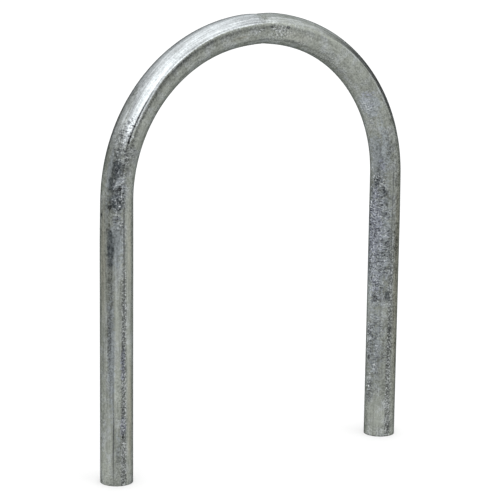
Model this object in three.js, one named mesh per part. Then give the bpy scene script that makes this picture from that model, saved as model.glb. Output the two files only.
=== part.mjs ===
// A hoop bike rack: two round steel tubes, each bent through a quarter turn above a straight leg, and
// joined at the top of the arch by a ring of weld metal. The whole hoop is hot-dip galvanised.
// Millimetres. +Z is up, +X runs from the left leg to the right one, and the origin is at the height
// of the feet, midway between them.

import * as THREE from "three";

// The tube, and the line that its middle follows: up the leg, round the bend, and a short straight
// tail to the crown, where a bending former can't reach
const tubeDiameter = 60.3;
const tubeWall = 3.2;
const legSpacing = 600;
const legLength = 520;
const crownTail = 7;

// Each tube is rolled from strip, and its long seam leaves a low bead down the bore.
// Seam angles are taken round the section, from the outside of the hoop towards the front.
const leftSeamAngle = 86;
const rightSeamAngle = 97;
const seamBeadWidth = 5;
const seamBeadHeight = 0.8;

// The former flattens the outside of each bend between two shoulders, draws the inside in a little,
// and lets the sides grow. This starts on the leg and is complete a little way up the bend.
const shoulderAngle = 68;
const bendFlattening = 2.3;
const insideDrawShare = 0.25;
const sideGrowthShare = 0.3;
const flatteningBelowBend = 90;
const flatteningIntoBend = 60;

// Along each shoulder the former's edge leaves a crease that stands a little proud. Low on the bend the
// crease lies further round, and it comes onto the shoulder higher up.
const leftCreaseRise = 0.45;
const rightCreaseRise = 0.25;
const creaseReach = 22;
const lowCreaseShift = 5;
const creaseShiftStart = 180;
const creaseShiftEnd = 250;

// At the crown the two bends rise to a slight peak and neck in, and one end stands above the other
const crownLift = 1;
const crownLiftReach = 55;
const crownNeck = 1.2;
const crownNeckReach = 18;
const crownMismatch = 0.5;

// The butt weld: each tube end is bevelled down to a root face, and the two stand a root gap apart
const bevelAngle = 30;
const rootFace = 1.2;
const rootGap = 2;
const weldCapHeight = 0.4;
const weldRootHeight = 0.6;
const fusionClearance = 0.3;

// The sawn foot, with its outer edge broken
const footBevel = 0.6;

// Facets round the section, in stretches that end on the shoulders and the sides, and rings along the
// tube, which crowd towards the crown
const flatSegments = 16;
const shoulderSegments = 3;
const insideSegments = 22;
const legRings = 4;
const bendRings = 26;
const crowdingPower = 1.3;

const radians = THREE.MathUtils.degToRad;
const smooth = THREE.MathUtils.smoothstep;
const tubeRadius = tubeDiameter / 2;
const bendRadius = legSpacing / 2 - crownTail;
const bendLength = (bendRadius * Math.PI) / 2;

const galvanised = new THREE.MeshStandardMaterial({ color: 0x9a9d9b, roughness: 0.42, metalness: 0.9 });
const weldMetal = new THREE.MeshStandardMaterial({ color: 0x8b8e8c, roughness: 0.6, metalness: 0.85 });

const leftTube = { side: -1, seamAngle: leftSeamAngle, creaseRise: leftCreaseRise };
const rightTube = { side: 1, seamAngle: rightSeamAngle, creaseRise: rightCreaseRise };

// Angles from one end of a stretch to just short of the other.
function stretch(from, to, count) {
  return Array.from({ length: count }, (_, i) => from + ((to - from) * i) / count);
}

// Angles once round the section, in degrees from the outside of the hoop, with points on both shoulders,
// on both sides and at the inside.
function sectionAngles() {
  return [
    ...stretch(-shoulderAngle, shoulderAngle, flatSegments),
    ...stretch(shoulderAngle, 90, shoulderSegments),
    ...stretch(90, 270, insideSegments),
    ...stretch(270, 360 - shoulderAngle, shoulderSegments),
  ];
}

// The same angles with the seam's two edges and its middle put in, and what lies too near them left out.
function anglesWithSeam(seamAngle) {
  const halfAngle = THREE.MathUtils.radToDeg(seamBeadWidth / 2 / (tubeRadius - tubeWall));
  const clear = sectionAngles().filter((angle) => Math.abs(angle - seamAngle) > halfAngle * 1.5);
  const seam = [seamAngle - halfAngle, seamAngle, seamAngle + halfAngle];
  return [...clear, ...seam].sort((a, b) => a - b);
}

// How far the tube's surface lies from its middle at an angle round the section. It is a circle that is
// flatter on the outside between the shoulders, drawn in at the inside, wider at the sides, and necked
// in all round at the crown. A crease on each shoulder falls away over its reach on both of its sides.
function outerRadius(place, degrees) {
  const angle = radians(degrees);
  const shoulder = Math.cos(radians(shoulderAngle));
  const flat = Math.max(0, (Math.cos(angle) - shoulder) / (1 - shoulder));
  const inside = Math.max(0, -Math.cos(angle)) ** 2;
  const side = Math.sin(angle) ** 2;
  const change = sideGrowthShare * side - flat - insideDrawShare * inside;
  const fromOutside = Math.abs(THREE.MathUtils.euclideanModulo(degrees + 180, 360) - 180);
  const crease = Math.max(0, 1 - Math.abs(fromOutside - place.creaseAngle) / creaseReach) ** 2;
  return tubeRadius + place.bent * (bendFlattening * change + place.creaseRise * crease) - place.neck;
}

// A place on a tube's middle line, by how far along the line it lies from the start of the bend, which is
// less than nothing on the leg: where it is, the direction in the hoop's plane that faces outwards, and
// what bending has done to the section there.
function placeAt(tube, travel) {
  const onBend = THREE.MathUtils.clamp(travel, 0, bendLength);
  const turn = onBend / bendRadius;
  const onLeg = Math.min(travel, 0);
  const onTail = Math.max(travel - bendLength, 0);
  const toCrown = bendLength + crownTail - travel;
  const outX = tube.side * Math.cos(turn);
  const outZ = Math.sin(turn);
  const lift = (crownLift + (tube.side * crownMismatch) / 2) * Math.exp(-((toCrown / crownLiftReach) ** 2));
  return {
    x: tube.side * (crownTail - onTail) + (bendRadius + lift) * outX,
    z: legLength + onLeg + (bendRadius + lift) * outZ,
    outX,
    outZ,
    bent: smooth(travel, -flatteningBelowBend, flatteningIntoBend),
    creaseRise: tube.creaseRise,
    creaseAngle: shoulderAngle + lowCreaseShift * (1 - smooth(travel, creaseShiftStart, creaseShiftEnd)),
    neck: crownNeck * Math.exp(-((toCrown / crownNeckReach) ** 2)),
  };
}

// The same, by how far short of the crown it lies.
function placeBeforeCrown(tube, distance) {
  return placeAt(tube, bendLength + crownTail - distance);
}

// One ring of points round a place, each drawn in from the tube's outer surface by what depth gives.
function ring(place, angles, depth) {
  return angles.map((degrees) => {
    const radius = outerRadius(place, degrees) - depth(degrees);
    const out = radius * Math.cos(radians(degrees));
    const forward = radius * Math.sin(radians(degrees));
    return new THREE.Vector3(place.x + out * place.outX, -forward, place.z + out * place.outZ);
  });
}

// A closed body skinned over a loop of rings, the last one joined to the first, with its faces turned
// the other way round where the loop runs the other way.
function skin(rings, turned) {
  const around = rings[0].length;
  const faces = [];
  rings.forEach((_, i) => {
    const here = i * around;
    const next = ((i + 1) % rings.length) * around;
    for (let j = 0; j < around; j++) {
      const k = (j + 1) % around;
      if (turned) faces.push(here + j, next + k, here + k, here + j, next + j, next + k);
      else faces.push(here + j, here + k, next + k, here + j, next + k, next + j);
    }
  });
  const geometry = new THREE.BufferGeometry().setFromPoints(rings.flat());
  geometry.setIndex(faces);
  geometry.computeVertexNormals();
  return geometry;
}

// How far the weld's groove reaches from the crown, at the root and at the tube's outer surface
const rootReach = rootGap / 2;
const grooveReach = rootReach + (tubeWall - rootFace) * Math.tan(radians(bevelAngle));

// Rings from where the flattening starts, on the leg, to a given distance short of the crown.
function bendSkin(tube, distanceShort, angles, depth) {
  const last = bendLength + crownTail - distanceShort;
  const travels = stretch(-flatteningBelowBend, 0, legRings);
  for (let i = 0; i <= bendRings; i++) {
    const left = (1 - i / bendRings) ** crowdingPower;
    travels.push(last * (1 - left));
  }
  return travels.map((travel) => ring(placeAt(tube, travel), angles, depth));
}

// A bent tube: up the outside from the foot to the groove, down the bevel and the root face, and back
// down the bore.
function bentTube(tube) {
  const angles = anglesWithSeam(tube.seamAngle);
  const surface = () => 0;
  const brokenEdge = () => footBevel;
  const bevelFoot = () => tubeWall - rootFace;
  const bore = (degrees) => tubeWall + (degrees === tube.seamAngle ? seamBeadHeight : 0);
  const rings = [
    ring(placeAt(tube, -legLength), angles, brokenEdge),
    ring(placeAt(tube, footBevel - legLength), angles, surface),
    ...bendSkin(tube, grooveReach, angles, surface),
    ring(placeBeforeCrown(tube, rootReach), angles, bevelFoot),
    ...bendSkin(tube, rootReach, angles, bore).reverse(),
    ring(placeAt(tube, -legLength), angles, bore),
  ];
  return skin(rings, tube.side > 0);
}

// The weld: a ring that fills the groove between the two bevels, and stands a little proud outside and in.
function weldRing() {
  const angles = sectionAngles();
  const sideClearance = fusionClearance / Math.cos(radians(bevelAngle));
  const edge = (tube, reach, depth) => ring(placeBeforeCrown(tube, reach), angles, () => depth);
  const crest = (depth) => {
    const right = edge(rightTube, 0, depth);
    return edge(leftTube, 0, depth).map((point, i) => point.lerp(right[i], 0.5));
  };
  const rings = [
    edge(leftTube, rootReach - fusionClearance, tubeWall),
    edge(leftTube, rootReach - fusionClearance, tubeWall - rootFace),
    edge(leftTube, grooveReach - sideClearance, 0),
    crest(-weldCapHeight),
    edge(rightTube, grooveReach - sideClearance, 0),
    edge(rightTube, rootReach - fusionClearance, tubeWall - rootFace),
    edge(rightTube, rootReach - fusionClearance, tubeWall),
    crest(tubeWall + weldRootHeight),
  ];
  return skin(rings, false);
}

function piece(name, geometry, material) {
  const mesh = new THREE.Mesh(geometry, material);
  mesh.name = name;
  return mesh;
}

const hoop = new THREE.Group();
hoop.add(
  piece("left_bent_tube", bentTube(leftTube), galvanised),
  piece("right_bent_tube", bentTube(rightTube), galvanised),
  piece("crown_weld", weldRing(), weldMetal),
);

export default hoop;
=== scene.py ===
import math
from collections import namedtuple

import bpy
import numpy as np
from bpy.props import FloatProperty, FloatVectorProperty, IntProperty, PointerProperty
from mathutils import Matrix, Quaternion, Vector


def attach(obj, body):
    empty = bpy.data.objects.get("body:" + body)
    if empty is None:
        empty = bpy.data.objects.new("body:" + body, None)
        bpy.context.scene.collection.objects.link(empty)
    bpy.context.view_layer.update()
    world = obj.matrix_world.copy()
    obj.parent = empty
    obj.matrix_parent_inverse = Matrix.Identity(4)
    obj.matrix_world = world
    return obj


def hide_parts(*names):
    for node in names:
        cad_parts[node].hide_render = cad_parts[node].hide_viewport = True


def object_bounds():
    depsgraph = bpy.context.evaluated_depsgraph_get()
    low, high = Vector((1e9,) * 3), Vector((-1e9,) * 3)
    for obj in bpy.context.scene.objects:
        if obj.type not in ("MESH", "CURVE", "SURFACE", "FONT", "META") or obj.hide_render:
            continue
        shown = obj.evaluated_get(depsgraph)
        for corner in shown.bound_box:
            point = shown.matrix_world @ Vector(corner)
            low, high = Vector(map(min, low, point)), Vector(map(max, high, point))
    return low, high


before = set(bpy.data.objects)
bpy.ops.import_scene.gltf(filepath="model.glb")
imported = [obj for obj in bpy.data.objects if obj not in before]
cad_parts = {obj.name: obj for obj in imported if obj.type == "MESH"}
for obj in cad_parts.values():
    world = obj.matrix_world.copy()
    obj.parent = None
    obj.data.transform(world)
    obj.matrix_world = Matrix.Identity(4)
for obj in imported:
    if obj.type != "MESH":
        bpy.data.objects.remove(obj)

# A galvanised hoop: two bent steel tubes and the weld that joins them at the crown. Metres, +Z up,
# +X from the left leg to the right one, with the feet at height zero.

bl_info = {
    "name": "Galvanised hoop",
    "version": (1, 0, 0),
    "blender": (4, 5, 0),
    "location": "3D View > Sidebar > Hoop",
    "description": "Skins a bent tube hoop with hot-dip galvanised steel and lights it in a small studio",
    "category": "Add Mesh",
}

CAD_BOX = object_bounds()
MILLIMETRE = 0.001
TUBE_DIAMETER = 0.0603
LEG_SPACING = CAD_BOX[1].x - CAD_BOX[0].x - TUBE_DIAMETER


def metres(name, description, default):
    return FloatProperty(name=name, description=description, default=default, unit="LENGTH")


def degrees(name, description, default):
    return FloatProperty(name=name, description=description, default=math.radians(default), subtype="ANGLE")


def number(name, description, default):
    return FloatProperty(name=name, description=description, default=default)


def numbers(name, description, default, kind="NONE"):
    size = len(default)
    return FloatVectorProperty(name=name, description=description, default=default, subtype=kind, size=size)


def tint(name, description, default):
    return numbers(name, description, default, "COLOR")


class HoopSizes(bpy.types.PropertyGroup):
    """Sizes of the hoop, which are the ones that its solids were built with."""

    tube_diameter: metres("Tube diameter", "Outside diameter of the tube", TUBE_DIAMETER)
    tube_wall: metres("Tube wall", "Thickness of the tube's wall", 0.0032)
    leg_spacing: metres("Leg spacing", "Between the middles of the legs", LEG_SPACING)
    leg_length: metres("Leg length", "From the foot to the start of the bend", 0.52)
    crown_tail: metres("Crown tail", "Straight end of each tube at the crown", 0.007)
    left_crease_rise: metres("Left crease rise", "How proud the left bend's creases stand", 0.00045)
    right_crease_rise: metres("Right crease rise", "The same, on the right bend", 0.00025)
    crease_reach: degrees("Crease reach", "Reach of a crease round the section", 22)
    score_depth: metres("Score depth", "Fine score that the former left along a crease", 0.00008)
    score_width: metres("Score width", "Half the width of that score", 0.0013)
    shoulder_angle: degrees("Shoulder angle", "Where the bend's flattened outside ends", 68)
    bend_flattening: metres("Bend flattening", "How far the bend's outside is flattened", 0.0023)
    inside_draw_share: number("Inside draw", "Share of that by which the inside is drawn in", 0.25)
    side_growth_share: number("Side growth", "Share of that by which the sides grow", 0.3)
    flattening_below: metres("Flattening below the bend", "Where it starts, on the leg", 0.09)
    flattening_into: metres("Flattening into the bend", "Where it is complete", 0.06)
    crown_lift: metres("Crown lift", "Rise of the bends to the crown", 0.001)
    crown_lift_reach: metres("Crown lift reach", "How far from the crown it is felt", 0.055)
    crown_neck: metres("Crown neck", "Narrowing of the tubes at the crown", 0.0012)
    crown_neck_reach: metres("Crown neck reach", "How far from the crown it is felt", 0.018)
    crown_mismatch: metres("Crown mismatch", "Step between the two ends at the crown", 0.0005)
    left_seam_angle: degrees("Left seam", "Place of the left tube's seam", 86)
    right_seam_angle: degrees("Right seam", "Place of the right tube's seam", 97)
    groove_reach: metres("Groove reach", "From the crown to the outer edge of the groove", 0.00215)
    root_reach: metres("Root reach", "From the crown to each tube's root face", 0.001)
    root_face: metres("Root face", "Height of the blunt edge under the bevel", 0.0012)
    weld_height: metres("Weld height", "How proud the dressed weld stands", 0.00012)
    foot_bevel: metres("Foot bevel", "Broken edge of the sawn foot", 0.0006)


class ZincFinish(bpy.types.PropertyGroup):
    """Colours and relief of the galvanised surface."""

    zinc: tint("Zinc", "Dull galvanised surface", (0.26, 0.276, 0.248))
    bright_zinc: tint("Bright zinc", "Cleaner zinc", (0.33, 0.35, 0.345))
    # Partly a painted highlight: polished zinc, much lighter than the rest, on the outside of the bends
    burnished_and_highlight_zinc: tint("Burnished zinc", "Outside of the bends", (0.51, 0.54, 0.555))
    blue_zinc: tint("Blue zinc", "Pale bluish zinc", (0.268, 0.293, 0.302))
    violet_zinc: tint("Violet zinc", "Violet bloom", (0.265, 0.282, 0.325))
    patina: tint("Patina", "Bluish alloyed patches", (0.06, 0.07, 0.077))
    warm_zinc: tint("Warm zinc", "Weathered, brownish zinc", (0.262, 0.266, 0.226))
    soot: tint("Soot", "Flux and ash in pits and lines", (0.034, 0.037, 0.044))
    sparks: tint("Sparks", "Bright flecks and bloom", (0.6, 0.63, 0.64))
    glancing_tint: tint("Glancing tint", "Tint of glancing reflections", (0.25, 0.26, 0.26))
    metallic: number("Metallic", "How metallic the zinc is", 0.95)
    mark_depth: number("Mark depth", "How much a pale or dull mark changes the tone", 0.36)
    relief: metres("Relief", "Depth of the coating's slow waves", 0.00012)
    rough_relief: metres("Rough relief", "Depth of the lumps where it is rough", 0.0004)
    grain_strength: number("Grain strength", "Strength of the fine grain's shading", 0.45)
    grain_depth: metres("Grain depth", "Depth of the fine grain", 0.0004)


class StudioSettings(bpy.types.PropertyGroup):
    """The camera, the floor and the light."""

    camera_azimuth: degrees("Camera azimuth", "Turn to the left of the front", 33.81)
    camera_elevation: degrees("Camera elevation", "Height above the horizon", 11.50)
    camera_roll: degrees("Camera roll", "Turn about its own axis", 0.73)
    camera_distance: metres("Camera distance", "From the camera to what it looks at", 3.78)
    camera_lens: number("Lens", "Focal length in millimetres", 146.04)
    camera_target: numbers("Target", "The point that it looks at", (-0.01345, 0.0, 0.4018), "XYZ")
    floor_size: metres("Floor size", "Side of the floor", 160.0)
    floor_rows: IntProperty(name="Floor rows", description="Rows of faces in the floor", default=8)
    floor_tone: number("Floor tone", "Brightness of the floor", 0.55)
    floor_lift: number("Floor lift", "What makes the lit floor white as a background", 0.36)
    floor_mirror_lift: number("Mirrored floor lift", "The same, where the metal mirrors it", 0.28)
    sky_light: numbers("Sky", "Brightness at five heights, the horizon first", (0.3, 0.95, 1.2, 1.6, 2.0))
    card_light: numbers("Cards", "What each of five soft cards adds", (0.8, 0.9, 0.8, 0.6, 0.6))
    flag_shade: number("Flag", "Share of the light that a flag takes", 0.68)
    lamp_light: numbers("Lamps", "Strength of the left lamp and of the right one", (0.5, 0.35))


# The room: the elevation of each level of its light, the azimuth left of the front, elevation and reach of
# each card and of the flag, and the azimuth, elevation and spread of each lamp. Degrees.
SKY_ELEVATIONS = (8, 22, 37, 52, 70)
CARDS = ((-54, 8, 26), (-130, 30, 22), (32, 18, 16), (112, 0, 22), (146, 0, 22))
FLAG = (-97, 15, 22)
LAMPS = (("left_lamp", 40, 42, 44), ("right_lamp", -20, 42, 50))

# Faces round the section, in stretches, and how far the close ones reach on both sides of a shoulder
FLAT_FACES = 58
INNER_SHOULDER_FACES = 5
OUTER_SHOULDER_FACES = 11
SIDE_FACES = 6
INSIDE_FACES = 82
INNER_SHOULDER = math.radians(4)
OUTER_SHOULDER = math.radians(8)

# Rings along the tube: up the plain leg to a travel, on to a distance from the crown, up to the crown, and
# down the bore, above and below the start of the bend
PLAIN_LEG_TRAVEL = -0.12
CROWN_STRETCH = 0.09
PLAIN_RINGS = 100
BEND_RINGS = 240
CROWN_RINGS = 74
BORE_BEND_RINGS = 48
BORE_LEG_RINGS = 6

# Low on a bend the crease lies further round, and it comes onto the shoulder between these travels
LOW_CREASE_SHIFT = math.radians(5)
CREASE_SHIFT_TRAVELS = (0.18, 0.25)

# Strips along each crease: the former's scored groove, darkened as painted shade, a painted highlight along
# the ridge, and painted shade just past it. Each has its angle from the crease in degrees, its half width as
# a share of score_width, its strength on the left and the right tube, how much stronger it is low on each,
# and the travels in which that ends, it fades in and it fades out. Two of them run on over the crown, and end
# further off than any crown would be.
Strip = namedtuple("Strip", "angle width strength low_extra low_end start end")
BEYOND_CROWN = (10, 11)
STRIPS = {
    "score_and_painted_shade": Strip(-5, 1, (1, 0.3), (1.4, 1.4), (0.15, 0.22), (0.08, 0.115), BEYOND_CROWN),
    "crest": Strip(1, 0.85, (1, 1), (5, 0), (0.15, 0.19), (0.085, 0.115), BEYOND_CROWN),
    "painted_lee_shade": Strip(9, 1.5, (1, 0.2), (0, 0), (0.15, 0.19), (0.085, 0.115), (0.3, 0.4)),
}

# The seam as it shows: half widths of its line and of the band round it, from full to nothing, how far it
# wanders, and the heights in which it ends above, grows fainter below, and its band comes in
SEAM_LINE = (0.0005, 0.0017)
SEAM_BAND = (0.0035, 0.0072)
SEAM_WANDER = 0.005
SEAM_TOP = (-0.02, 0.06)
SEAM_FAINT = (-0.3, -0.1)
BAND_TOP = (0, -0.22)

# Heights in which the mottling calms on the bend, and a shift to where a pattern looks different
CALM_START = (0.1, 0.26)
ELSEWHERE = (0.31, 0.17, 0.23)

# Sizes of the cells of the coating's slow waves and of its lumps, coarse and fine
WAVE_CELLS = (0.019, 0.008)
LUMP_CELLS = (0.0045, 0.0024)

# The weld's cap: how far it laps onto the tubes, how far it stands clear of their relief, how deep its hidden
# edges are buried, and the cell and seed of its ripple
WELD_OVERLAP = 0.0012
WELD_CLEARANCE = 0.00002
WELD_BURIED = 0.0006
WELD_RINGS = 17
RIPPLE_CELL = 0.005
RIPPLE_SEED = 5

# Grain of the zinc on the tubes and on the weld
TUBE_GRAIN = 0.0032
WELD_GRAIN = 0.0026

MARK_KINDS = (
    "pale", "dull", "smooth", "blue", "patina", "violet",
    "warmth", "stain", "line", "bloom", "pitted", "scaly",
)

# Marks on the tubes, by kind: how far above the start of the bend each lies, its angle round the section from
# the outside of the hoop towards the front, its reach along and round the tube, and its strength.
# Millimetres and degrees.
# Some pale and dull marks, on the outside of the bends and by the creases, are painted highlight and shade
LEFT_MARKS = {
    "pale": (
        (132, 32, 16, 8, 1.5), (126, 52, 24, 6, 1.5), (93, 33, 14, 7, 0.7), (31, 59, 16, 7, 0.7),
        (-120, 78, 110, 2.5, 0.7), (-225, 59, 80, 7, 0.9), (-270, 106, 320, 11, 0.75),
        (-340, 60, 60, 7, 1.2), (-495, 8, 50, 20, 0.9),
    ),
    "dull": (
        (436, 85, 34, 3, 0.5), (434, 50, 24, 9, 0.6), (282, 24, 26, 6, 0.5), (204, 12, 28, 9, 0.8),
        (178, 33, 24, 8, 0.6), (107, 53, 14, 6, 0.9), (78, 99, 22, 8, 0.8), (30, 79, 18, 6, 0.65),
        (-12, 26, 22, 10, 1.3), (-44, 30, 26, 8, 1.2), (-62, 58, 26, 9, 0.8), (-115, 8, 110, 11, 0.4),
        (-134, 54, 34, 6, 0.6), (-145, 37, 50, 7, 1.6), (-205, 37, 105, 7, 1.4), (-240, 22, 70, 9, 0.6),
        (-290, 84, 220, 5, 0.5), (-409, 87, 22, 5, 0.9),
    ),
    "smooth": (
        (120, 110, 110, 12, 0.6), (-120, 58, 70, 12, 0.8), (-190, 8, 240, 12, 0.8),
        (-230, 60, 110, 11, 0.8), (-270, 112, 300, 13, 1.0), (-410, 36, 110, 18, 0.8),
    ),
    "blue": (
        (40, 24, 80, 8, 0.7), (20, 66, 50, 14, 0.8), (-70, 60, 60, 15, 0.9), (-270, 41, 130, 8, 0.9),
        (-440, 66, 50, 8, 0.5),
    ),
    "patina": (
        (285, 78, 70, 2.4, 0.55), (82, 45, 12, 9, 0.65), (58, 49, 17, 9, 1.5), (33, 38, 16, 7, 1.3),
        (6, 44, 12, 7, 0.95), (0, 58, 15, 12, 1.3), (-56, 38, 10, 5, 1.3), (-80, 38, 26, 7, 1.35),
        (-102, 38, 17, 7, 1.0), (-165, 41, 44, 8, 0.25), (-250, 42, 90, 6, 0.3), (-462, 66, 40, 9, 0.4),
        (-518, 60, 7, 110, 0.35),
    ),
    "violet": (
        (-292, 82, 40, 5, 0.9), (-409, 83, 19, 6, 1.0),
    ),
    "warmth": (
        (405, 104, 30, 5, 0.6), (-80, 110, 150, 10, 0.6), (-110, 6, 150, 12, 0.7), (-380, 112, 140, 9, 0.8),
    ),
    "stain": (
        (459, 84, 4, 2, 0.7), (56, 51, 8, 5, 0.9), (-6, 36, 5, 3, 0.9), (-24, -6, 6, 3, 1.0),
        (-397, 28, 2, 9, 0.5),
    ),
    "line": (
        (-150, 87, 150, 1.0, 1.2), (-417, 49, 100, 1.1, 1.2),
    ),
    "bloom": (
        (16, 77, 15, 1.3, 0.9), (-3, 70, 6, 2, 0.6), (-18, 57, 5, 3.4, 0.5),
    ),
    "pitted": (
        (450, 90, 14, 7, 0.8), (300, 60, 40, 16, 0.2), (105, 48, 36, 20, 0.8), (40, 76, 75, 8, 0.8),
    ),
    "scaly": (
        (100, 56, 60, 26, 0.9), (10, 66, 72, 15, 0.95), (-400, 84, 140, 7, 0.8),
    ),
}

RIGHT_MARKS = {
    "pale": (
        (410, 112, 30, 14, 0.5), (392, 77, 60, 4.5, 0.8), (370, 58, 85, 6, 1.3), (322, 75, 85, 5, 1.2),
        (308, 59, 36, 5, 1.9), (300, 88, 140, 24, 0.56), (300, 43, 60, 6, 1.0), (262, 85, 80, 5, 1.25),
        (152, 140, 34, 12, 1.1), (128, 142, 22, 11, 0.8), (-40, 150, 14, 13, 1.4), (-70, 113, 16, 8, 0.7),
        (-86, 147, 18, 12, 1.2), (-88, 178, 20, 8, 0.8), (-170, 150, 130, 24, 0.75),
        (-225, 182, 50, 8, 0.9), (-478, 126, 32, 20, 1.1), (-512, 120, 16, 60, 0.9),
    ),
    "dull": (
        (388, 140, 26, 12, 0.4), (315, 140, 34, 14, 0.6), (270, 152, 36, 14, 0.5), (205, 112, 26, 10, 0.6),
        (58, 106, 26, 11, 0.9), (50, 160, 34, 10, 0.35), (32, 126, 22, 10, 0.45), (15, 84, 26, 7, 0.7),
        (-57, 178, 14, 7, 0.8), (-86, 102, 50, 8, 0.35), (-110, 150, 120, 26, 0.2), (-112, 109, 17, 8, 1.3),
        (-120, 76, 200, 9, 1.0), (-125, 75, 42, 7, 1.9), (-143, 122, 26, 9, 0.6), (-168, 107, 26, 8, 0.8),
        (-228, 134, 34, 10, 0.8), (-328, 94, 50, 8, 0.8), (-332, 103, 60, 8, 0.85), (-345, 66, 44, 5, 0.5),
        (-350, 155, 20, 10, 0.45), (-362, 126, 18, 8, 0.5), (-503, 89, 18, 8, 1.2),
    ),
    "smooth": (
        (395, 40, 100, 18, 1.0), (-270, 140, 40, 14, 0.6), (-375, 132, 60, 12, 0.6),
        (-470, 140, 34, 16, 0.9),
    ),
    "blue": (
        (158, 136, 34, 22, 1.0), (158, 112, 26, 13, 0.8), (80, 120, 60, 14, 0.6), (40, 150, 60, 26, 0.9),
        (-130, 158, 150, 34, 1.0), (-330, 158, 120, 26, 0.65),
    ),
    "patina": (
        (-12, 163, 10, 5, 1.2), (-30, 130, 13, 6, 0.8), (-52, 122, 10, 6, 0.7), (-150, 108, 20, 5, 0.5),
        (-212, 148, 9, 6, 0.6), (-236, 110, 11, 6, 1.1), (-312, 172, 6, 5, 0.9), (-374, 158, 7, 9, 0.7),
        (-410, 166, 15, 8, 0.5),
    ),
    "violet": (
        (180, 122, 13, 20, 0.5), (25, 142, 18, 8, 0.7), (-35, 165, 12, 9, 1.2), (-105, 168, 70, 17, 1.2),
        (-215, 158, 30, 12, 0.7),
    ),
    "warmth": (
        (400, 110, 70, 24, 0.45), (-220, 68, 330, 12, 0.8),
    ),
    "stain": (
        (458, 82, 4, 2, 1.0), (423, 81, 4, 2.6, 1.2), (411, 83, 3, 2, 0.6), (402, 128, 34, 5, 0.5),
        (-308, 186, 10, 8, 0.9), (-318, 165, 6, 5, 0.8), (-362, 180, 8, 6, 0.8), (-435, 180, 12, 6, 0.6),
        (-519, 110, 2.5, 90, 0.6),
    ),
    "bloom": (
        (-375, 150, 5, 6, 0.6), (-400, 172, 8, 3, 0.7),
    ),
    "pitted": (
        (452, 84, 10, 5, 1.3), (441, 100, 24, 14, 0.85), (300, 152, 45, 10, 0.45), (152, 152, 24, 12, 0.8),
        (-10, 160, 24, 24, 1.0), (-70, 165, 110, 26, 0.5), (-85, 190, 45, 7, 1.5),
        (-110, 185, 170, 16, 0.8), (-320, 184, 40, 7, 1.3), (-415, 180, 25, 7, 1.2),
    ),
    "scaly": (
        (140, 134, 46, 24, 0.6), (-110, 154, 150, 36, 1.0), (-215, 150, 60, 22, 0.85),
        (-330, 150, 120, 30, 0.6), (-425, 172, 40, 12, 0.7),
    ),
}

# Pits in the rough zinc beside the crown: distance from the crown, angle, width and depth. Millimetres and
# degrees.
CROWN_PITS = (
    (4, 84, 2.6, 0.7),
    (9, 94, 2.2, 0.6),
    (13, 80, 1.8, 0.5),
    (18, 100, 2.0, 0.5),
    (24, 88, 1.6, 0.4),
    (31, 83, 2.4, 0.7),
    (36, 112, 2.0, 0.4),
    (47, 101, 2.2, 0.4),
    (58, 114, 2.4, 0.5),
)

# A tube: its side of the hoop, the setting that places its seam, the seed of what is random on it, its marks
Tube = namedtuple("Tube", "name node side seam seed marks")
LEFT = Tube("left_tube_zinc", "left_bent_tube", -1, "left_seam_angle", 11, LEFT_MARKS)
RIGHT = Tube("right_tube_zinc", "right_bent_tube", 1, "right_seam_angle", 47, RIGHT_MARKS)


def ease(value, low, high):
    """A smooth step: 0 below low, 1 above high, and three squares less two cubes of the share between."""
    share = np.clip((value - low) / (high - low), 0, 1)
    return share * share * (3 - 2 * share)


def bell(value, reach):
    """A bell curve, 1 in the middle and e to the minus one at the reach."""
    return np.exp(-((value / reach) ** 2))


def blend(first, second, share):
    """A mix of two arrays, by the share of the second."""
    return first + (second - first) * share


def within_half_turn(angle):
    """The same angles, between minus and plus half a turn."""
    return (angle + math.pi) % (2 * math.pi) - math.pi


def column_and_row(travel, angle):
    """Travels as a column and angles as a row, so that a sum of the two covers the whole surface."""
    return np.asarray(travel, float).reshape(-1, 1), np.asarray(angle, float).reshape(1, -1)


def bend_radius(size):
    return size.leg_spacing / 2 - size.crown_tail


def path_length(size):
    """From the start of the bend to the crown."""
    return bend_radius(size) * math.pi / 2 + size.crown_tail


def middle_line(side, travel, size):
    """The line that the tube's middle follows, for an array of travels along it from the start of the bend.

    Below zero it is straight down the leg. Above, it turns at the bend's radius, one radian for each radius
    travelled, until it faces straight up, and then runs level to the crown. A bell curve of the distance to
    the crown lifts it. Gives its x and z, and the x and z of the direction that faces out of the hoop."""
    radius = bend_radius(size)
    length = radius * math.pi / 2
    turn = np.clip(travel, 0, length) / radius
    on_leg = np.minimum(travel, 0)
    on_tail = np.maximum(travel - length, 0)
    out_x = side * np.cos(turn)
    out_z = np.sin(turn)
    lift = size.crown_lift + side * size.crown_mismatch / 2
    reach = radius + lift * bell(path_length(size) - travel, size.crown_lift_reach)
    x = side * (size.crown_tail - on_tail) + reach * out_x
    z = size.leg_length + on_leg + reach * out_z
    return x, z, out_x, out_z


def crease_shift(travel):
    """How much further round than the shoulder the crease lies, at each travel."""
    return LOW_CREASE_SHIFT * (1 - ease(travel, *CREASE_SHIFT_TRAVELS))


def from_crease(travel, angle, size):
    """How far each point lies from the nearer crease, as an angle towards the side of the tube."""
    return np.abs(within_half_turn(angle)) - size.shoulder_angle - crease_shift(travel)


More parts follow.
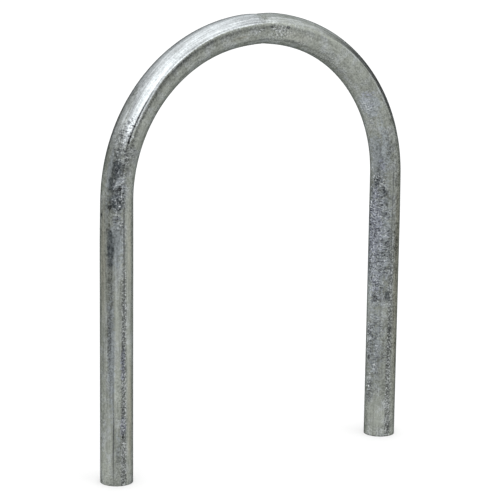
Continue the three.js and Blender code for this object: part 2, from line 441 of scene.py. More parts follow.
def section_radius(side, travel, angle, size):
    """The tube's outer surface, as a radius for each travel and angle round the section.

    It is the tube's radius, less the flattening times the share of the way from the shoulder to the outside
    by cosine, less a share of it times the cosine squared on the inside, plus a share of it times the sine
    squared, less a bell curve of the distance to the crown. Each crease stands proud by its rise, times the
    square of the share of its reach that is left."""
    shoulder = math.cos(size.shoulder_angle)
    onset = ease(travel, -size.flattening_below, size.flattening_into)
    flat = np.maximum(0, (np.cos(angle) - shoulder) / (1 - shoulder))
    inside = np.maximum(0, -np.cos(angle)) ** 2
    change = size.side_growth_share * np.sin(angle) ** 2 - flat - size.inside_draw_share * inside
    rise = size.left_crease_rise if side < 0 else size.right_crease_rise
    near = np.maximum(0, 1 - np.abs(from_crease(travel, angle, size)) / size.crease_reach) ** 2
    neck = size.crown_neck * bell(path_length(size) - travel, size.crown_neck_reach)
    return size.tube_diameter / 2 + onset * (size.bend_flattening * change + rise * near) - neck


def place_rings(side, travel, angle, depth, size):
    """Points of the rings at each travel, each drawn in from the outer surface by the depth.

    A point is the middle line, plus the radius times the cosine of its angle outwards and the radius times
    the sine towards the front."""
    column, row = column_and_row(travel, angle)
    x, z, out_x, out_z = middle_line(side, column, size)
    radius = section_radius(side, column, row, size) - depth
    out = radius * np.cos(row)
    forward = radius * np.sin(row)
    return np.stack([x + out * out_x, -forward, z + out * out_z], axis=-1)


def unbend(travel, angle, size):
    """Where each point would lie if the tube were straight: round the z axis, at the height of its travel."""
    column, row = column_and_row(travel, angle)
    radius = size.tube_diameter / 2
    flat = np.zeros_like(column * row)
    return np.stack([radius * np.cos(row) + flat, radius * np.sin(row) + flat, column + flat], axis=-1)


def lattice_noise(points, cell, seed):
    """Smooth random heights from 0 to 1 at each point.

    Random numbers stand at the corners of cubic cells, and a point takes the mix of its cell's eight
    corners, with each share eased by three squares less two cubes."""
    place = points / cell
    corner = np.floor(place).astype(int)
    share = place - corner
    share = share * share * (3 - 2 * share)
    corner -= corner.reshape(-1, 3).min(axis=0)
    heights = np.random.default_rng(seed).random(corner.reshape(-1, 3).max(axis=0) + 2)
    total = np.zeros(points.shape[:-1])
    for steps in np.ndindex(2, 2, 2):
        part = np.ones(points.shape[:-1])
        for axis, step in enumerate(steps):
            part = part * (share[..., axis] if step else 1 - share[..., axis])
        x, y, z = (corner[..., axis] + step for axis, step in enumerate(steps))
        total += part * heights[x, y, z]
    return total


def two_noises(points, cells, coarse_share, seed):
    """A mix of smooth random heights in coarse cells and in fine ones, by the share of the coarse."""
    coarse, fine = cells
    heights = coarse_share * lattice_noise(points, coarse, seed)
    return heights + (1 - coarse_share) * lattice_noise(points, fine, seed + 1)


def stretch(start, end, count):
    """Evenly spaced values from the start to just short of the end."""
    return start + (end - start) * np.arange(count) / count


def fine_angles(size):
    """Angles once round the section, with points on both shoulders and both sides, close together beside the
    shoulders."""
    shoulder = size.shoulder_angle
    quarter = math.pi / 2
    near = INNER_SHOULDER
    far = OUTER_SHOULDER
    stretches = (
        (-shoulder, near - shoulder, INNER_SHOULDER_FACES),
        (near - shoulder, shoulder - near, FLAT_FACES),
        (shoulder - near, shoulder, INNER_SHOULDER_FACES),
        (shoulder, shoulder + far, OUTER_SHOULDER_FACES),
        (shoulder + far, quarter, SIDE_FACES),
        (quarter, 3 * quarter, INSIDE_FACES),
        (3 * quarter, 4 * quarter - shoulder - far, SIDE_FACES),
        (4 * quarter - shoulder - far, 4 * quarter - shoulder, OUTER_SHOULDER_FACES),
    )
    return np.concatenate([stretch(*part) for part in stretches])


def fine_travels(size):
    """Travels from just above the foot's bevel to the groove, closer together as they near the crown."""
    foot = size.foot_bevel - size.leg_length
    busy = path_length(size) - CROWN_STRETCH
    groove = path_length(size) - size.groove_reach
    return np.concatenate([
        stretch(foot, PLAIN_LEG_TRAVEL, PLAIN_RINGS),
        stretch(PLAIN_LEG_TRAVEL, busy, BEND_RINGS),
        np.linspace(busy, groove, CROWN_RINGS),
    ])


def coarse_travels(size, end):
    """Travels for the bore, from the bottom of the flattening to an end by the crown."""
    on_leg = stretch(-size.flattening_below, 0, BORE_LEG_RINGS)
    return np.concatenate([on_leg, np.linspace(0, end, BORE_BEND_RINGS)])


def mark_strength(kind, tube, travel, angle, size):
    """How strong a kind of mark is at each point: the strongest of its bells in travel and angle."""
    column, row = column_and_row(travel, angle)
    radius = size.tube_diameter / 2
    strongest = np.zeros_like(column * row)
    for height, turn, reach_along, reach_around, strength in tube.marks.get(kind, ()):
        along = bell(column - height * MILLIMETRE, reach_along * MILLIMETRE)
        apart = within_half_turn(row - math.radians(turn)) * radius
        strongest = np.maximum(strongest, strength * along * bell(apart, reach_around * MILLIMETRE))
    return strongest


def crease_strip(name, tube, travel, angle, size):
    """How strong a strip along the crease is at each point: a bell curve across it, which fades in above the
    springline, where it may be stronger, and may fade out before the crown."""
    strip = STRIPS[name]
    column, row = column_and_row(travel, angle)
    right = tube.side > 0
    across = (from_crease(column, row, size) - math.radians(strip.angle)) * size.tube_diameter / 2
    low = 1 + strip.low_extra[right] * (1 - ease(column, *strip.low_end))
    along = ease(column, *strip.start) * (1 - ease(column, *strip.end))
    return strip.strength[right] * low * bell(across, size.score_width * strip.width) * along


def burnish_and_painted_highlight(tube, travel, angle, size):
    """How far the former's rubbing has polished the outside of the bend, which also paints a highlight there:
    1 between the shoulders, above a place that lies lowest a little short of each shoulder, by a bell curve
    of the angle from there. It starts faintly below, is less on the right, and on the left it wears off at
    the crown."""
    outside_start = 0.178
    dip = 0.105
    dip_angle = math.radians(56)
    dip_reach = math.radians(27)
    start_length = 0.045
    faint_start = (0.05, 0.12)
    crown_wear = (-0.03, -0.002)
    past_shoulder = (-0.1, 0.06)
    column, row = column_and_row(travel, angle)
    around = np.abs(within_half_turn(row))
    start = outside_start - dip * bell(around - dip_angle, dip_reach)
    worn = np.maximum(ease(column - start, 0, start_length), 0.5 * ease(column, *faint_start))
    share = 0.4 if tube.side > 0 else 1 - 0.6 * ease(column - path_length(size), *crown_wear)
    inner, outer = (edge - size.shoulder_angle for edge in past_shoulder)
    return share * worn * ease(crease_shift(column) - around, inner, outer)


def with_crown_pits(depth, travel, angle, size):
    """The depth with that of the round pits beside the crown added: bell curves in travel and angle."""
    column, row = column_and_row(travel, angle)
    for from_crown, turn, width, pit_depth in CROWN_PITS:
        along = bell(path_length(size) - column - from_crown * MILLIMETRE, width * MILLIMETRE)
        around = bell((row - math.radians(turn)) * size.tube_diameter / 2, width * MILLIMETRE)
        depth = depth + pit_depth * MILLIMETRE * along * around
    return depth


def zinc_depth(tube, travel, angle, size, finish):
    """How far the coating's relief lies below the tube's outer surface.

    Slow waves of two sizes lie everywhere, small lumps lie where the marks say that it is pitted, the
    former's score lies along the creases, and the right tube has a few round pits beside the crown."""
    straight = unbend(travel, angle, size)
    slow = two_noises(straight, WAVE_CELLS, 0.65, tube.seed)
    lumps = two_noises(straight, LUMP_CELLS, 0.6, tube.seed + 2)
    pitted = mark_strength("pitted", tube, travel, angle, size)
    depth = finish.relief * slow + finish.rough_relief * pitted * lumps
    depth = depth + size.score_depth * crease_strip("score_and_painted_shade", tube, travel, angle, size)
    return with_crown_pits(depth, travel, angle, size) if tube.side > 0 else depth


def faces_of_rows(rows, columns):
    """The numbers of the faces in some rows of a closed grid."""
    return (np.asarray(rows).reshape(-1, 1) * columns + np.arange(columns)).ravel()


def grid_faces(rows, columns, turned):
    """Quads over a grid that closes on itself both ways."""
    here = np.arange(rows * columns).reshape(rows, columns)
    beside = np.roll(here, -1, axis=1)
    above = np.roll(here, -1, axis=0)
    across = np.roll(above, -1, axis=1)
    order = (here, above, across, beside) if turned else (here, beside, across, above)
    return np.stack(order, axis=-1).reshape(-1, 4)


def make_mesh(name, points, faces, attributes, sharp=()):
    """A smooth mesh from an array of points and one of quads, with point attributes, where the faces whose
    numbers are given stay flat."""
    smooth = np.ones(len(faces), bool)
    smooth[list(sharp)] = False
    mesh = bpy.data.meshes.new(name)
    mesh.vertices.add(len(points))
    mesh.vertices.foreach_set("co", points.astype(np.float32).ravel())
    mesh.loops.add(faces.size)
    mesh.loops.foreach_set("vertex_index", faces.astype(np.int32).ravel())
    mesh.polygons.add(len(faces))
    mesh.polygons.foreach_set("loop_start", np.arange(0, faces.size, 4, dtype=np.int32))
    mesh.polygons.foreach_set("use_smooth", smooth)
    for key, values in attributes.items():
        kind, field = ("FLOAT_VECTOR", "vector") if values.ndim == 2 else ("FLOAT", "value")
        attribute = mesh.attributes.new(key, kind, "POINT")
        attribute.data.foreach_set(field, values.astype(np.float32).ravel())
    mesh.update(calc_edges=True)
    if mesh.validate():
        raise RuntimeError(f"the mesh of {name} isn't sound")
    return mesh


def add_object(name, data):
    """Puts an object into the scene."""
    item = bpy.data.objects.new(name, data)
    bpy.context.scene.collection.objects.link(item)
    return item


def add_piece(name, mesh, material, node):
    """Puts a mesh into the scene in place of its CAD node."""
    mesh.materials.append(material)
    piece = add_object(name, mesh)
    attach(piece, "root")
    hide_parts(node)


def tube_mesh(tube, size, finish):
    """A bent tube as one closed loop of rings: up its surface, over the bevel and down the bore."""
    angle = fine_angles(size)
    travel = fine_travels(size)
    crown = path_length(size)
    bore = coarse_travels(size, crown - size.root_reach)[::-1]
    foot = -size.leg_length
    rows = [
        ([foot], size.foot_bevel),
        (travel, zinc_depth(tube, travel, angle, size, finish)),
        ([crown - size.root_reach], size.tube_wall - size.root_face),
        (bore, size.tube_wall),
        ([foot], size.tube_wall),
    ]
    points = np.concatenate([place_rings(tube.side, along, angle, depth, size) for along, depth in rows])
    travels = np.concatenate([along for along, _ in rows])
    between_ends = np.concatenate([np.full(len(along), len(along) > 1) for along, _ in rows])
    from_seam = within_half_turn(angle - getattr(size, tube.seam)) * size.tube_diameter / 2
    attributes = {
        "unbent": unbend(travels, angle, size).reshape(-1, 3),
        "from_seam": np.tile(from_seam, len(travels)),
        "between_ends": np.repeat(between_ends, len(angle)),
        "burnish_and_painted_highlight": burnish_and_painted_highlight(tube, travels, angle, size).ravel(),
    }
    for name in STRIPS:
        attributes[name] = crease_strip(name, tube, travels, angle, size).ravel()
    for kind in MARK_KINDS:
        attributes[kind] = mark_strength(kind, tube, travels, angle, size).ravel()
    faces = grid_faces(len(travels), len(angle), tube.side > 0)
    groove = len(travel)
    sharp = faces_of_rows([0, groove, groove + 1, len(travels) - 1], len(angle))
    return make_mesh(tube.name, points.reshape(-1, 3), faces, attributes, sharp)


def weld_cap(across, toe, angle, size, finish):
    """The rings of the weld's cap, at places across the crown from left to right.

    The height above the tubes' own relief is the weld's height times the cosine squared of the share of the
    way to its toe, and it ripples a little round the tube. By the middle the two sides run into one."""
    short = path_length(size) - np.abs(across)
    share = 0.6
    ripple = 1 - share + share * lattice_noise(unbend(across, angle, size), RIPPLE_CELL, RIPPLE_SEED)
    height = size.weld_height * np.cos(across / toe * math.pi / 2).reshape(-1, 1) ** 2 * ripple
    sides = []
    for tube in (LEFT, RIGHT):
        depth = zinc_depth(tube, short, angle, size, finish) - height - WELD_CLEARANCE
        sides.append(place_rings(tube.side, short, angle, depth, size))
    left, right = sides
    near_middle = ease(np.abs(across), 0, size.root_reach).reshape(-1, 1, 1)
    own = np.where(across.reshape(-1, 1, 1) < 0, left, right)
    cap = own * near_middle + (left + right) / 2 * (1 - near_middle)
    cap[:, :, 0] = across.reshape(-1, 1)
    return cap


def weld_attributes(travels, share, angle, size):
    """The weld's point attributes: what both tubes carry there, mixed by the share of the right one."""
    attributes = {"unbent": unbend(travels, angle, size).reshape(-1, 3)}
    for kind in MARK_KINDS:
        left, right = (mark_strength(kind, tube, travels, angle, size) for tube in (LEFT, RIGHT))
        attributes[kind] = blend(left, right, share).ravel()
    # The weld takes both tubes' scored groove with its painted shade, the right tube's polish with its
    # painted highlight, the left tube's painted ridge highlight, and no painted shade past the ridge
    left, right = (crease_strip("score_and_painted_shade", tube, travels, angle, size) for tube in (LEFT, RIGHT))
    attributes["score_and_painted_shade"] = blend(left, right, share).ravel()
    attributes["burnish_and_painted_highlight"] = burnish_and_painted_highlight(RIGHT, travels, angle, size).ravel()
    attributes["crest"] = crease_strip("crest", LEFT, travels, angle, size).ravel()
    attributes["painted_lee_shade"] = np.zeros(left.size)
    attributes["between_ends"] = np.ones(left.size)
    attributes["from_seam"] = np.full(left.size, size.tube_diameter)
    return attributes


def weld_mesh(size, finish):
    """The weld as a closed ring: its cap lies over both edges of the groove, and its root in the bore."""
    angle = fine_angles(size)
    crown = path_length(size)
    toe = size.groove_reach + WELD_OVERLAP
    across = np.linspace(-toe, toe, WELD_RINGS)
    under = np.array([toe - WELD_BURIED, size.root_reach, size.root_reach])
    depths = np.array([[WELD_BURIED], [size.tube_wall - size.root_face], [size.tube_wall + WELD_BURIED]])
    cap = weld_cap(across, toe, angle, size, finish)
    right_root = place_rings(RIGHT.side, crown - under, angle, depths, size)
    left_root = place_rings(LEFT.side, crown - under, angle, depths, size)
    points = np.concatenate([cap, right_root, left_root[::-1]])
    travels = crown - np.abs(np.concatenate([across, under, -under[::-1]]))
    on_right = np.ones(len(under))
    share = np.concatenate([ease(across, -toe, toe), on_right, 0 * on_right]).reshape(-1, 1)
    faces = grid_faces(len(points), len(angle), False)
    sharp = faces_of_rows(np.arange(len(across) - 1, len(points)), len(angle))
    attributes = weld_attributes(travels, share, angle, size)
    return make_mesh("weld_cap", points.reshape(-1, 3), faces, attributes, sharp)


class Recipe:
    """The nodes of a material or of the world, added one after another."""

    def __init__(self, tree):
        self.tree = tree
        self.tree.nodes.clear()

    def add(self, kind, inputs=None, **settings):
        """Adds a node, sets its settings, and fills or links its inputs."""
        node = self.tree.nodes.new(kind)
        for key, value in settings.items():
            setattr(node, key, value)
        for key, value in (inputs or {}).items():
            if isinstance(value, bpy.types.NodeSocket):
                self.tree.links.new(value, node.inputs[key])
            else:
                node.inputs[key].default_value = value
        return node

    def math(self, operation, first, second=0.0):
        return self.add("ShaderNodeMath", {0: first, 1: second}, operation=operation).outputs[0]

    def product(self, first, *others):
        for other in others:
            first = self.math("MULTIPLY", first, other)
        return first

    def total(self, first, *others):
        for other in others:
            first = self.math("ADD", first, other)
        return first

    def largest(self, first, *others):
        for other in others:
            first = self.math("MAXIMUM", first, other)
        return first

    def difference(self, first, second):
        return self.math("SUBTRACT", first, second)

    def ramp(self, value, low, high, start=0.0, end=1.0):
        """Maps low to start and high to end, smoothly, and holds them beyond."""
        values = {"Value": value, "From Min": low, "From Max": high, "To Min": start, "To Max": end}
        return self.add("ShaderNodeMapRange", values, interpolation_type="SMOOTHSTEP").outputs[0]

    def mix(self, share, first, second):
        """A mix of two colours, by the share of the second."""
        values = {0: share, 6: opaque(first), 7: opaque(second)}
        return self.add("ShaderNodeMix", values, data_type="RGBA").outputs[2]

    def strength(self, name):
        """A point attribute's value."""
        return self.add("ShaderNodeAttribute", attribute_name=name).outputs["Fac"]

    def place(self, squeeze_along=1.0):
        """The place on the tube as if it were straight, squeezed or stretched along it."""
        unbent = self.add("ShaderNodeAttribute", attribute_name="unbent").outputs["Vector"]
        return self.add("ShaderNodeMapping", {"Vector": unbent, "Scale": (1, 1, squeeze_along)}).outputs[0]

    def noise(self, vector, cells, detail, roughness=0.5, distortion=0.0):
        """Random heights about a half, with so many cells to a metre."""
        values = {
            "Vector": vector, "Scale": cells, "Detail": detail,
            "Roughness": roughness, "Distortion": distortion,
        }
        return self.add("ShaderNodeTexNoise", values).outputs[0]

    def flakes(self, vector, breaker, cells):
        """A random tone from -0.5 to 0.5 for each flake of a pattern with wandering edges."""
        shift = self.product(breaker, 1 / cells)
        place = self.add("ShaderNodeVectorMath", {0: vector, 1: shift}).outputs[0]
        pattern = self.add("ShaderNodeTexVoronoi", {"Vector": place, "Scale": cells})
        random = self.add("ShaderNodeSeparateXYZ", {0: pattern.outputs["Color"]}).outputs["X"]
        return self.difference(random, 0.5)

    def broken(self, mark, breaker, ragged, soft=0.25):
        """A mark's strength with an edge as wide as it is soft, which a noise breaks up more the more ragged
        it is."""
        shift = self.product(self.difference(breaker, 0.5), ragged * 2)
        edge = self.ramp(self.total(self.strength(mark), shift), 0.5 - soft, 0.5 + soft)
        return self.product(edge, self.ramp(self.strength(mark), 0, 0.5))


def opaque(colour):
    """A colour with its fourth channel full, or a colour's socket as it is."""
    return colour if isinstance(colour, bpy.types.NodeSocket) else (*colour, 1.0)


def new_material(name):
    material = bpy.data.materials.new(name)
    material.use_nodes = True
    return material


class ZincRecipe(Recipe):
    """Hot-dip zinc: grey with cloudy mottling, flakes of slightly different tone and streaks, scaly patches
    with fine dark lines, bluish patina with a broken edge, and soot in pits and seams, with a painted
    highlight on the outside of the bends and painted highlight and shade along their creases.

    Its patterns, marks, seam and soot are worked out first, and its colour, tone and relief read them."""

    def __init__(self, tree, finish, grain_size):
        super().__init__(tree)
        self.finish = finish
        self.add_patterns(grain_size)
        self.add_marks()
        self.add_seam()
        self.add_soot()

    def add_patterns(self, grain_size):
        """Noises and flakes. The streaks are drawn out along the tube, and the scales squeezed."""
        self.plain = self.place()
        self.drawn_out = self.place(0.04)
        self.squeezed = self.place(2.3)
        shifted = self.add("ShaderNodeVectorMath", {0: self.plain, 1: ELSEWHERE}).outputs[0]
        self.height = self.add("ShaderNodeSeparateXYZ", {0: self.plain}).outputs["Z"]
        self.cloudy = self.noise(self.plain, 55, 3, 0.6)
        self.mottle = self.noise(self.plain, 160, 3, 0.65, 0.4)
        self.grain = self.noise(self.plain, 1 / grain_size, 2, 0.6)
        self.fine = self.noise(self.plain, 1100, 2, 0.6)
        self.streaks = self.noise(self.drawn_out, 300, 3, 0.6)
        self.tatters = self.noise(self.plain, 210, 4, 0.65, 0.3)
        self.speckle = self.noise(self.plain, 310, 2)
        self.sparkle = self.noise(shifted, 330, 2)
        self.strokes = self.noise(self.place(3.5), 100, 2, 0.6, 0.5)
        self.flake_tones = self.flakes(self.plain, self.mottle, 110)
        self.plate_tones = self.flakes(shifted, self.cloudy, 62)
        self.scale_tones = self.flakes(self.squeezed, self.mottle, 80)

    def add_marks(self):
        """Marks that more than one of the others read: scaly zinc, zinc that the former polished, which is
        also a painted highlight on the bends, patinated zinc, and how much of the mottling bending and smooth
        marks leave."""
        self.pitted = self.strength("pitted")
        self.smooth = self.strength("smooth")
        self.scaly = self.broken("scaly", self.cloudy, 0.6)
        drawn = self.total(self.product(self.streaks, 0.75), self.product(self.mottle, 0.25))
        worn = self.ramp(self.cloudy, 0.2, 0.5, 0.8, 1)
        # Polished zinc over the outside of the bends, partly a painted highlight
        self.burnished_and_painted_highlight = self.product(self.broken("burnish_and_painted_highlight", drawn, 0.7, 0.4), worn)
        thin = self.ramp(self.mottle, 0.35, 0.6, 1, 0.7)
        self.patina = self.product(self.broken("patina", self.tatters, 0.8, 0.4), thin)
        self.calm = self.ramp(self.height, *CALM_START, 1, 0.85)
        bent = self.ramp(self.strength("burnish_and_painted_highlight"), 0, 1, 1, 0.5)
        self.even = self.product(self.calm, bent, self.ramp(self.smooth, 0, 1, 1, 0.35))

    def add_seam(self):
        """The tube's seam below the bend: a fine dark line that wanders a little, with a band of dots and
        sparks round it on the leg."""
        middle = self.product(self.difference(self.noise(self.drawn_out, 90, 2), 0.5), SEAM_WANDER)
        away = self.math("ABSOLUTE", self.total(self.strength("from_seam"), middle))
        here = self.product(self.strength("between_ends"), self.ramp(self.height, *SEAM_TOP, 1, 0))
        faint = self.ramp(self.height, *SEAM_FAINT, 0.45, 1)
        line = self.product(self.ramp(away, *SEAM_LINE, 1, 0), self.ramp(self.mottle, 0.36, 0.46))
        band = self.product(self.ramp(away, *SEAM_BAND, 1, 0), self.ramp(self.height, *BAND_TOP), here)
        dots = self.noise(self.place(0.8), 520, 1)
        dark_dots = self.product(band, self.ramp(dots, 0.46, 0.54, 0.2, 0.9))
        self.seam = self.largest(self.product(here, faint, line), dark_dots)
        self.seam_sparks = self.product(band, self.ramp(dots, 0.38, 0.44, 0.6, 0))

    def add_soot(self):
        """Cracks and dashes in scaly zinc, and soot in them, in the seam, in pits, in stains and in lines."""
        swirls = self.difference(self.noise(self.squeezed, 130, 3, 0.6, 1.2), 0.5)
        worms = self.math("ABSOLUTE", swirls)
        cracks = self.product(self.ramp(worms, 0.05, 0.17, 1, 0), self.ramp(self.speckle, 0.44, 0.53), 0.45)
        dashes = self.ramp(self.noise(self.squeezed, 165, 1, 0.4), 0.54, 0.59)
        self.cracks = self.product(self.largest(cracks, dashes), self.scaly)
        spots = self.product(self.pitted, self.ramp(self.speckle, 0.54, 0.61))
        stains = self.broken("stain", self.tatters, 0.9)
        lines = self.product(self.strength("line"), self.ramp(self.grain, 0.35, 0.55, 0.5, 1))
        seam_soot = self.product(self.seam, 0.85)
        crack_soot = self.product(self.cracks, 0.9)
        self.soot = self.largest(seam_soot, spots, stains, lines, crack_soot)

    def tinted(self):
        """The zinc's colour before its tone: clean and dull zinc in clouds, then each mark's tint over it,
        then patina, soot and bright flecks."""
        finish = self.finish
        scale_tint = self.ramp(self.scale_tones, 0.1, 0.25, 0, 0.6)
        scale_tint = self.product(self.scaly, scale_tint, self.strength("blue"))
        violet = self.largest(self.broken("violet", self.mottle, 1.2), scale_tint)
        flecks = self.largest(self.pitted, self.product(self.scaly, 0.55))
        sparks = self.product(flecks, self.ramp(self.sparkle, 0.56, 0.61))
        light = self.product(self.largest(sparks, self.seam_sparks), 0.9)
        colour = self.mix(self.ramp(self.cloudy, 0.42, 0.72), finish.zinc, finish.bright_zinc)
        layers = (
            (self.broken("warmth", self.cloudy, 0.4), finish.warm_zinc),
            (self.broken("blue", self.mottle, 0.9), finish.blue_zinc),
            # Polished zinc on the outside of the bends: partly a painted highlight
            (self.burnished_and_painted_highlight, finish.burnished_and_highlight_zinc),
            (violet, finish.violet_zinc),
            (self.patina, finish.patina),
            (self.product(self.soot, 0.85), finish.soot),
            (self.largest(light, self.broken("bloom", self.grain, 0.9)), finish.sparks),
        )
        for share, over in layers:
            colour = self.mix(share, colour, over)
        return colour

    def tone(self):
        """How light the zinc is: mottling and grain, flakes and scales, streaks, painted shade in the
        former's scored groove, a painted highlight along the ridge and painted shade just past it, about a
        middle tone, with pale and dull marks over it, some of which are painted highlight and painted shade."""
        fine_even = self.product(self.even, self.ramp(self.scaly, 0, 1, 1, 0.45))
        mottle = self.ramp(self.mottle, 0.35, 0.65, -0.14, 0.14)
        grain = self.ramp(self.grain, 0.32, 0.68, -0.28, 0.28)
        strokes = self.ramp(self.strokes, 0.38, 0.62, -0.26, 0.26)
        plates = self.product(self.plate_tones, 0.5)
        scales = self.total(self.product(self.scale_tones, 0.45), plates, strokes)
        flakes = self.product(self.flake_tones, self.ramp(self.scaly, 0, 1, 0.17, 0.1))
        flakes = self.total(flakes, self.product(scales, self.scaly))
        cloud = self.product(self.total(mottle, grain), fine_even)
        cloud = self.total(cloud, self.product(flakes, self.even))
        streak_depth = self.ramp(self.largest(self.smooth, self.burnished_and_painted_highlight), 0, 1, 1, 1.6)
        streaks = self.product(self.ramp(self.streaks, 0.32, 0.68, -0.13, 0.13), streak_depth)
        # Painted shade darkens the scored groove, a painted highlight lightens the ridge, and painted shade
        # darkens the band past it
        score_and_painted_shade = self.product(self.strength("score_and_painted_shade"), self.ramp(self.streaks, 0.35, 0.6, -0.32, -0.48))
        crest = self.product(self.strength("crest"), self.ramp(self.grain, 0.35, 0.6, 0.08, 0.32))
        painted_lee_shade = self.product(self.strength("painted_lee_shade"), self.ramp(self.grain, 0.35, 0.65, -0.34, -0.2))
        # Pale minus dull marks: some are painted highlight and painted shade on the bends
        marks = self.difference(self.strength("pale"), self.strength("dull"))
        marks = self.product(marks, self.finish.mark_depth)
        middle_tone = 0.97
        streaks = self.total(streaks, middle_tone)
        return self.total(cloud, streaks, self.total(score_and_painted_shade, crest), self.total(marks, painted_lee_shade))

    def relief(self):
        """The fine grain's relief, with lumps where it is pitted, and sunk at the seam and in cracks."""
        grain = self.total(self.product(self.grain, 0.8), self.product(self.fine, 0.3))
        lumps = self.product(self.speckle, 1.5, self.pitted)
        raised = self.total(self.product(self.calm, self.even, grain), lumps)
        return self.difference(raised, self.largest(self.seam, self.cracks))

    def roughness(self):
        """Clouded, and rougher on patina and soot."""
        rough = self.ramp(self.cloudy, 0.35, 0.7, 0.3, 0.24)
        return self.total(rough, self.product(self.largest(self.patina, self.soot), 0.18))


def galvanised_material(name, finish, grain_size):
    """Hot-dip zinc as its recipe gives it."""
    material = new_material(name)
    recipe = ZincRecipe(material.node_tree, finish, grain_size)
    toned = {0: recipe.tinted(), "Scale": recipe.tone()}
    colour = recipe.add("ShaderNodeVectorMath", toned, operation="SCALE").outputs[0]
    bump = recipe.add("ShaderNodeBump", {
        "Strength": finish.grain_strength,
        "Distance": finish.grain_depth,
        "Height": recipe.relief(),
    })
    shader = recipe.add("ShaderNodeBsdfPrincipled", {
        "Base Color": colour,
        "Metallic": finish.metallic,
        "Roughness": recipe.roughness(),
        "Specular Tint": opaque(finish.glancing_tint),
        "Normal": bump.outputs[0],
    })
    recipe.add("ShaderNodeOutputMaterial", {"Surface": shader.outputs[0]})
    return material


def floor_material(studio):
    """Plain matt floor. Seen directly or in the metal, a lift makes it white, and its shadow stays."""
    material = new_material("studio_floor")
    recipe = Recipe(material.node_tree)
    path = recipe.add("ShaderNodeLightPath")
    mirrored = recipe.largest(path.outputs["Is Glossy Ray"], path.outputs["Is Transmission Ray"])
    mirrored = recipe.product(mirrored, studio.floor_mirror_lift)
    seen = recipe.product(path.outputs["Is Camera Ray"], studio.floor_lift)
    tone = studio.floor_tone
    matt = recipe.add("ShaderNodeBsdfDiffuse", {"Color": opaque((tone, tone, tone))})
    lift = recipe.add("ShaderNodeEmission", {"Strength": recipe.largest(seen, mirrored)})
    both = recipe.add("ShaderNodeAddShader", {0: matt.outputs[0], 1: lift.outputs[0]})
    recipe.add("ShaderNodeOutputMaterial", {"Surface": both.outputs[0]})
    return material


def add_floor(studio):
    """A flat square grid at the height of the feet."""
    half = studio.floor_size / 2
    side = np.linspace(-half, half, studio.floor_rows + 1)
    x, y = np.meshgrid(side, side)
    points = np.stack([x, y, np.zeros_like(x)], axis=-1).reshape(-1, 3)
    index = np.arange(x.size).reshape(x.shape)
    faces = np.stack([index[:-1, :-1], index[:-1, 1:], index[1:, 1:], index[1:, :-1]], axis=-1).reshape(-1, 4)
    floor = add_object("floor", make_mesh("floor", points, faces, {}))
    floor.data.materials.append(floor_material(studio))


def direction_from(azimuth, elevation):
    """The direction towards an azimuth, left of the front, and an elevation, in radians."""
    level = math.cos(elevation)
    return Vector((-math.sin(azimuth) * level, -math.cos(azimuth) * level, math.sin(elevation)))


def room_patch(recipe, direction, patch, strength):
    """A soft round patch of the room: its strength near its middle, and nothing past its reach. By cosine it
    is full from two thirds of the way in."""
    azimuth, elevation, reach = (math.radians(angle) for angle in patch)
    towards = direction_from(azimuth, elevation)
    near = recipe.add("ShaderNodeVectorMath", {0: direction, 1: tuple(towards)}, operation="DOT_PRODUCT")
    edge = math.cos(reach)
    full = (edge + 2) / 3
    return recipe.ramp(near.outputs["Value"], edge, full, 0, strength)


def set_world(studio):
    """Soft light from all round, dim at the horizon and bright overhead, with five soft cards and a flag.

    Brightness follows the sine of the elevation. Each card adds some light round its direction, and the flag
    takes a share of all of it away round another."""
    world = bpy.data.worlds.new("soft_room")
    world.use_nodes = True
    bpy.context.scene.world = world
    recipe = Recipe(world.node_tree)
    direction = recipe.add("ShaderNodeTexCoord").outputs["Generated"]
    height = recipe.add("ShaderNodeSeparateXYZ", {0: direction}).outputs["Z"]
    ramp = recipe.add("ShaderNodeValToRGB", {0: height})
    stops = ramp.color_ramp.elements
    overhead = studio.sky_light[-1]
    for elevation, level in zip(SKY_ELEVATIONS, studio.sky_light):
        stop = stops.new(math.sin(math.radians(elevation)))
        stop.color = opaque((level / overhead,) * 3)
    stops.remove(stops[0])
    stops.remove(stops[-1])
    light = recipe.product(ramp.outputs[0], overhead)
    for card, strength in zip(CARDS, studio.card_light):
        light = recipe.total(light, room_patch(recipe, direction, card, strength))
    unshaded = recipe.difference(1.0, room_patch(recipe, direction, FLAG, studio.flag_shade))
    background = recipe.add("ShaderNodeBackground", {"Strength": recipe.product(light, unshaded)})
    recipe.add("ShaderNodeOutputWorld", {"Surface": background.outputs[0]})


def add_lamp(name, azimuth, elevation, spread, strength):
    """A distant soft lamp, which shines from an azimuth left of the front and an elevation."""
    lamp = bpy.data.lights.new(name, "SUN")
    lamp.energy = strength
    lamp.angle = math.radians(spread)
    towards = direction_from(math.radians(azimuth), math.radians(elevation))
    holder = add_object(name, lamp)
    holder.rotation_mode = "QUATERNION"
    holder.rotation_quaternion = towards.to_track_quat("Z", "Y")


def add_camera(studio):
    """The camera at the distance from its target, turned about its own axis."""
    data = bpy.data.cameras.new("camera")
    data.lens = studio.camera_lens
    data.clip_end = studio.floor_size
    camera = add_object("camera", data)
    back = direction_from(studio.camera_azimuth, studio.camera_elevation)
    camera.location = Vector(studio.camera_target) + back * studio.camera_distance
    camera.rotation_mode = "QUATERNION"
    roll = Quaternion((0, 0, 1), studio.camera_roll)
    camera.rotation_quaternion = back.to_track_quat("Z", "Y") @ roll
    bpy.context.scene.camera = camera


class HOOP_OT_set_studio(bpy.types.Operator):
    """Make the floor, the light and the camera"""

    bl_idname = "hoop.set_studio"
    bl_label = "Set up the studio"

    def execute(self, context):
        studio = context.scene.hoop_studio
        context.scene.view_settings.view_transform = "Standard"
        add_camera(studio)
        add_floor(studio)
        set_world(studio)
        for lamp, strength in zip(LAMPS, studio.lamp_light):
            add_lamp(*lamp, strength)
        return {"FINISHED"}


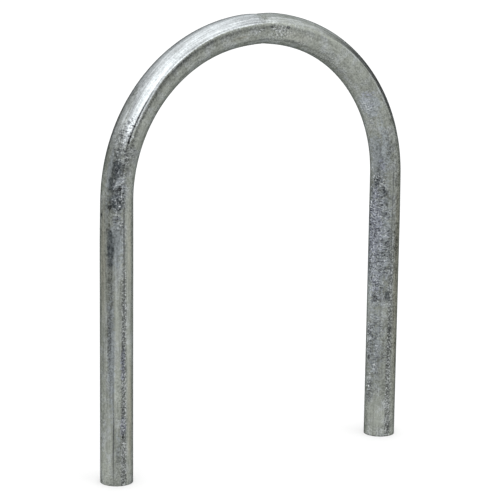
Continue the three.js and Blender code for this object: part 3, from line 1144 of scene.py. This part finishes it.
class HOOP_OT_add_tubes(bpy.types.Operator):
    """Skin both bent tubes with galvanised zinc"""

    bl_idname = "hoop.add_tubes"
    bl_label = "Add the bent tubes"

    def execute(self, context):
        size = context.scene.hoop_sizes
        finish = context.scene.hoop_finish
        zinc = galvanised_material("galvanised_zinc", finish, TUBE_GRAIN)
        for tube in (LEFT, RIGHT):
            add_piece(tube.name, tube_mesh(tube, size, finish), zinc, tube.node)
        return {"FINISHED"}


class HOOP_OT_add_weld(bpy.types.Operator):
    """Lay the dressed weld over the joint at the crown"""

    bl_idname = "hoop.add_weld"
    bl_label = "Add the crown weld"

    def execute(self, context):
        size = context.scene.hoop_sizes
        finish = context.scene.hoop_finish
        zinc = galvanised_material("zinc_over_weld", finish, WELD_GRAIN)
        add_piece("weld_cap", weld_mesh(size, finish), zinc, "crown_weld")
        return {"FINISHED"}


class HOOP_PT_panel(bpy.types.Panel):
    """Lists what makes the hoop, in the sidebar."""

    bl_label = "Galvanised hoop"
    bl_idname = "HOOP_PT_panel"
    bl_space_type = "VIEW_3D"
    bl_region_type = "UI"
    bl_category = "Hoop"

    def draw(self, context):
        for operator in OPERATORS:
            self.layout.operator(operator.bl_idname)
        for group in (context.scene.hoop_sizes, context.scene.hoop_finish, context.scene.hoop_studio):
            box = self.layout.box()
            for key in group.bl_rna.properties.keys():
                if key not in ("rna_type", "name"):
                    box.prop(group, key)


OPERATORS = (HOOP_OT_set_studio, HOOP_OT_add_tubes, HOOP_OT_add_weld)
CLASSES = (HoopSizes, ZincFinish, StudioSettings, *OPERATORS, HOOP_PT_panel)


def register():
    for item in CLASSES:
        bpy.utils.register_class(item)
    bpy.types.Scene.hoop_sizes = PointerProperty(type=HoopSizes)
    bpy.types.Scene.hoop_finish = PointerProperty(type=ZincFinish)
    bpy.types.Scene.hoop_studio = PointerProperty(type=StudioSettings)


def unregister():
    del bpy.types.Scene.hoop_studio
    del bpy.types.Scene.hoop_finish
    del bpy.types.Scene.hoop_sizes
    for item in reversed(CLASSES):
        bpy.utils.unregister_class(item)


def main():
    register()
    bpy.ops.hoop.set_studio()
    bpy.ops.hoop.add_tubes()
    bpy.ops.hoop.add_weld()


if __name__ == "__main__":
    main()
